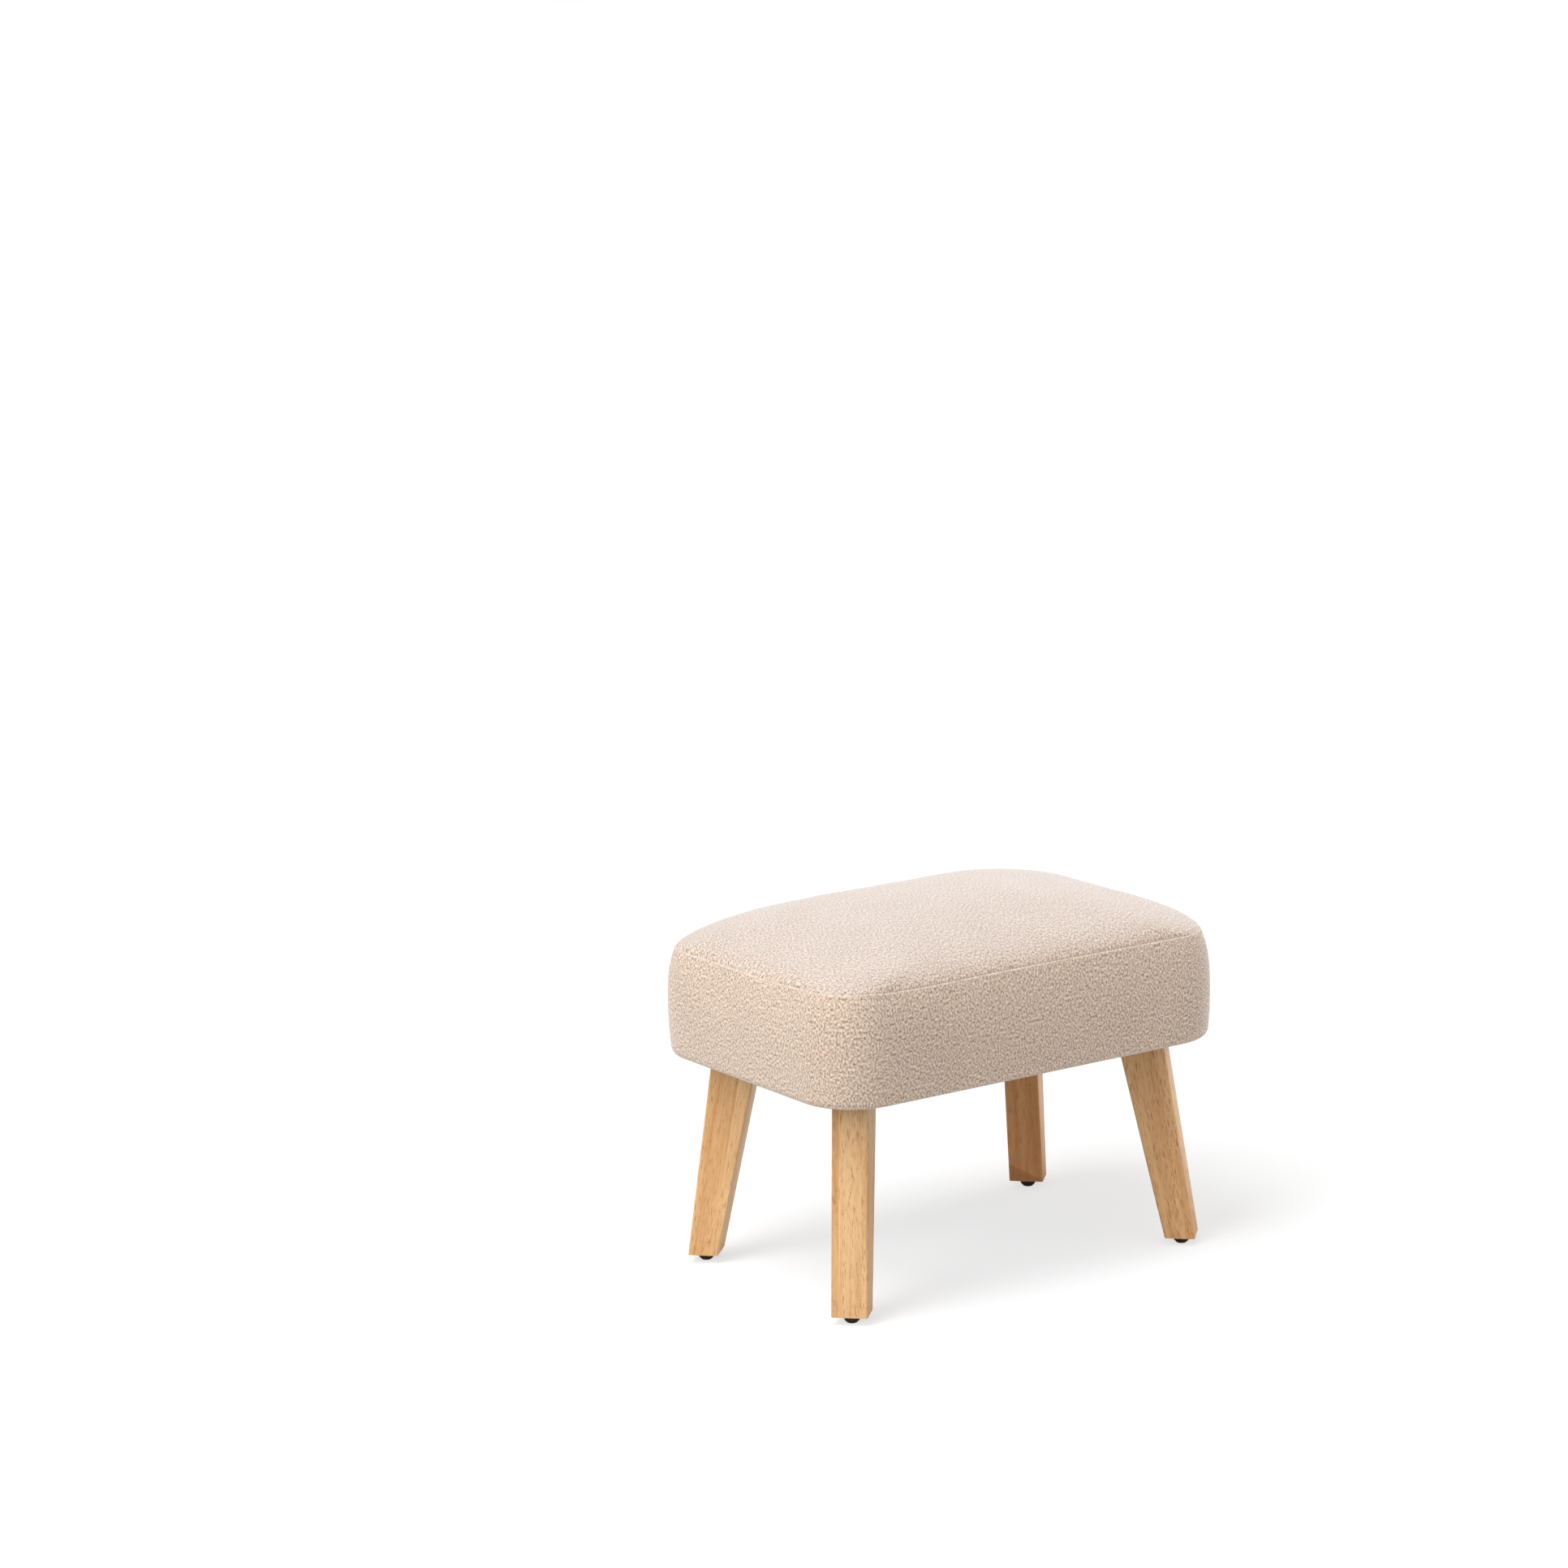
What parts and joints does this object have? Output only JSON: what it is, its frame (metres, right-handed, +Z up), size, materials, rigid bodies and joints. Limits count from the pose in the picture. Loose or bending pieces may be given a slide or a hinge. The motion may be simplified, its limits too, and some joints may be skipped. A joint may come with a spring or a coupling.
{
  "type": "footstool",
  "caption": "Upholstered footstool with a crowned rectangular cushion on a box frame and four splayed wooden legs set on the corner diagonals, with nail-on glides.",
  "frame": {"origin": "on the floor under the middle of the stool: the bottom centre of its bounding box", "axes": "+X along the long side, +Y towards the rear long side, +Z up; the long side seen in the picture faces -Y and the short end seen in it faces -X"},
  "size_m": [0.544, 0.379, 0.4215],
  "materials": {
    "cover_fabric": "beige herringbone tweed",
    "wadding": "polyester wadding",
    "foam": "upholstery foam",
    "plywood": "raw birch plywood",
    "frame_wood": "raw softwood",
    "leg_wood": "clear satin lacquer",
    "black_plate": "black powder coat",
    "black_bolt": "black oxide",
    "zinc_steel": "zinc plated",
    "glide_plastic": "moulded black",
    "dust_cloth": "black non-woven cloth"
  },
  "bodies": {
    "root": {"base_board": "plywood", "base_screws": "zinc_steel", "centre_rail": "frame_wood", "corner_block_front_left": "frame_wood", "corner_block_front_right": "frame_wood", "corner_block_rear_left": "frame_wood", "corner_block_rear_right": "frame_wood", "cover_staples": "zinc_steel", "deck_screws": "zinc_steel", "dust_cover": "dust_cloth", "dust_cover_staples": "zinc_steel", "foam_pad": "foam", "front_rail": "frame_wood", "glide_front_left": "glide_plastic", "glide_front_right": "glide_plastic", "glide_nails": "zinc_steel", "glide_rear_left": "glide_plastic", "glide_rear_right": "glide_plastic", "left_rail": "frame_wood", "leg_front_left": "leg_wood", "leg_front_right": "leg_wood", "leg_plate_front_left": "black_plate", "leg_plate_front_right": "black_plate", "leg_plate_rear_left": "black_plate", "leg_plate_rear_right": "black_plate", "leg_rear_left": "leg_wood", "leg_rear_right": "leg_wood", "leg_screws": "zinc_steel", "plate_bolts": "black_bolt", "rail_dowels": "frame_wood", "rear_rail": "frame_wood", "right_rail": "frame_wood", "seat_deck": "plywood", "side_band": "cover_fabric", "tee_nuts": "zinc_steel", "top_panel": "cover_fabric", "wadding": "wadding"}
  },
  "joints": []
}
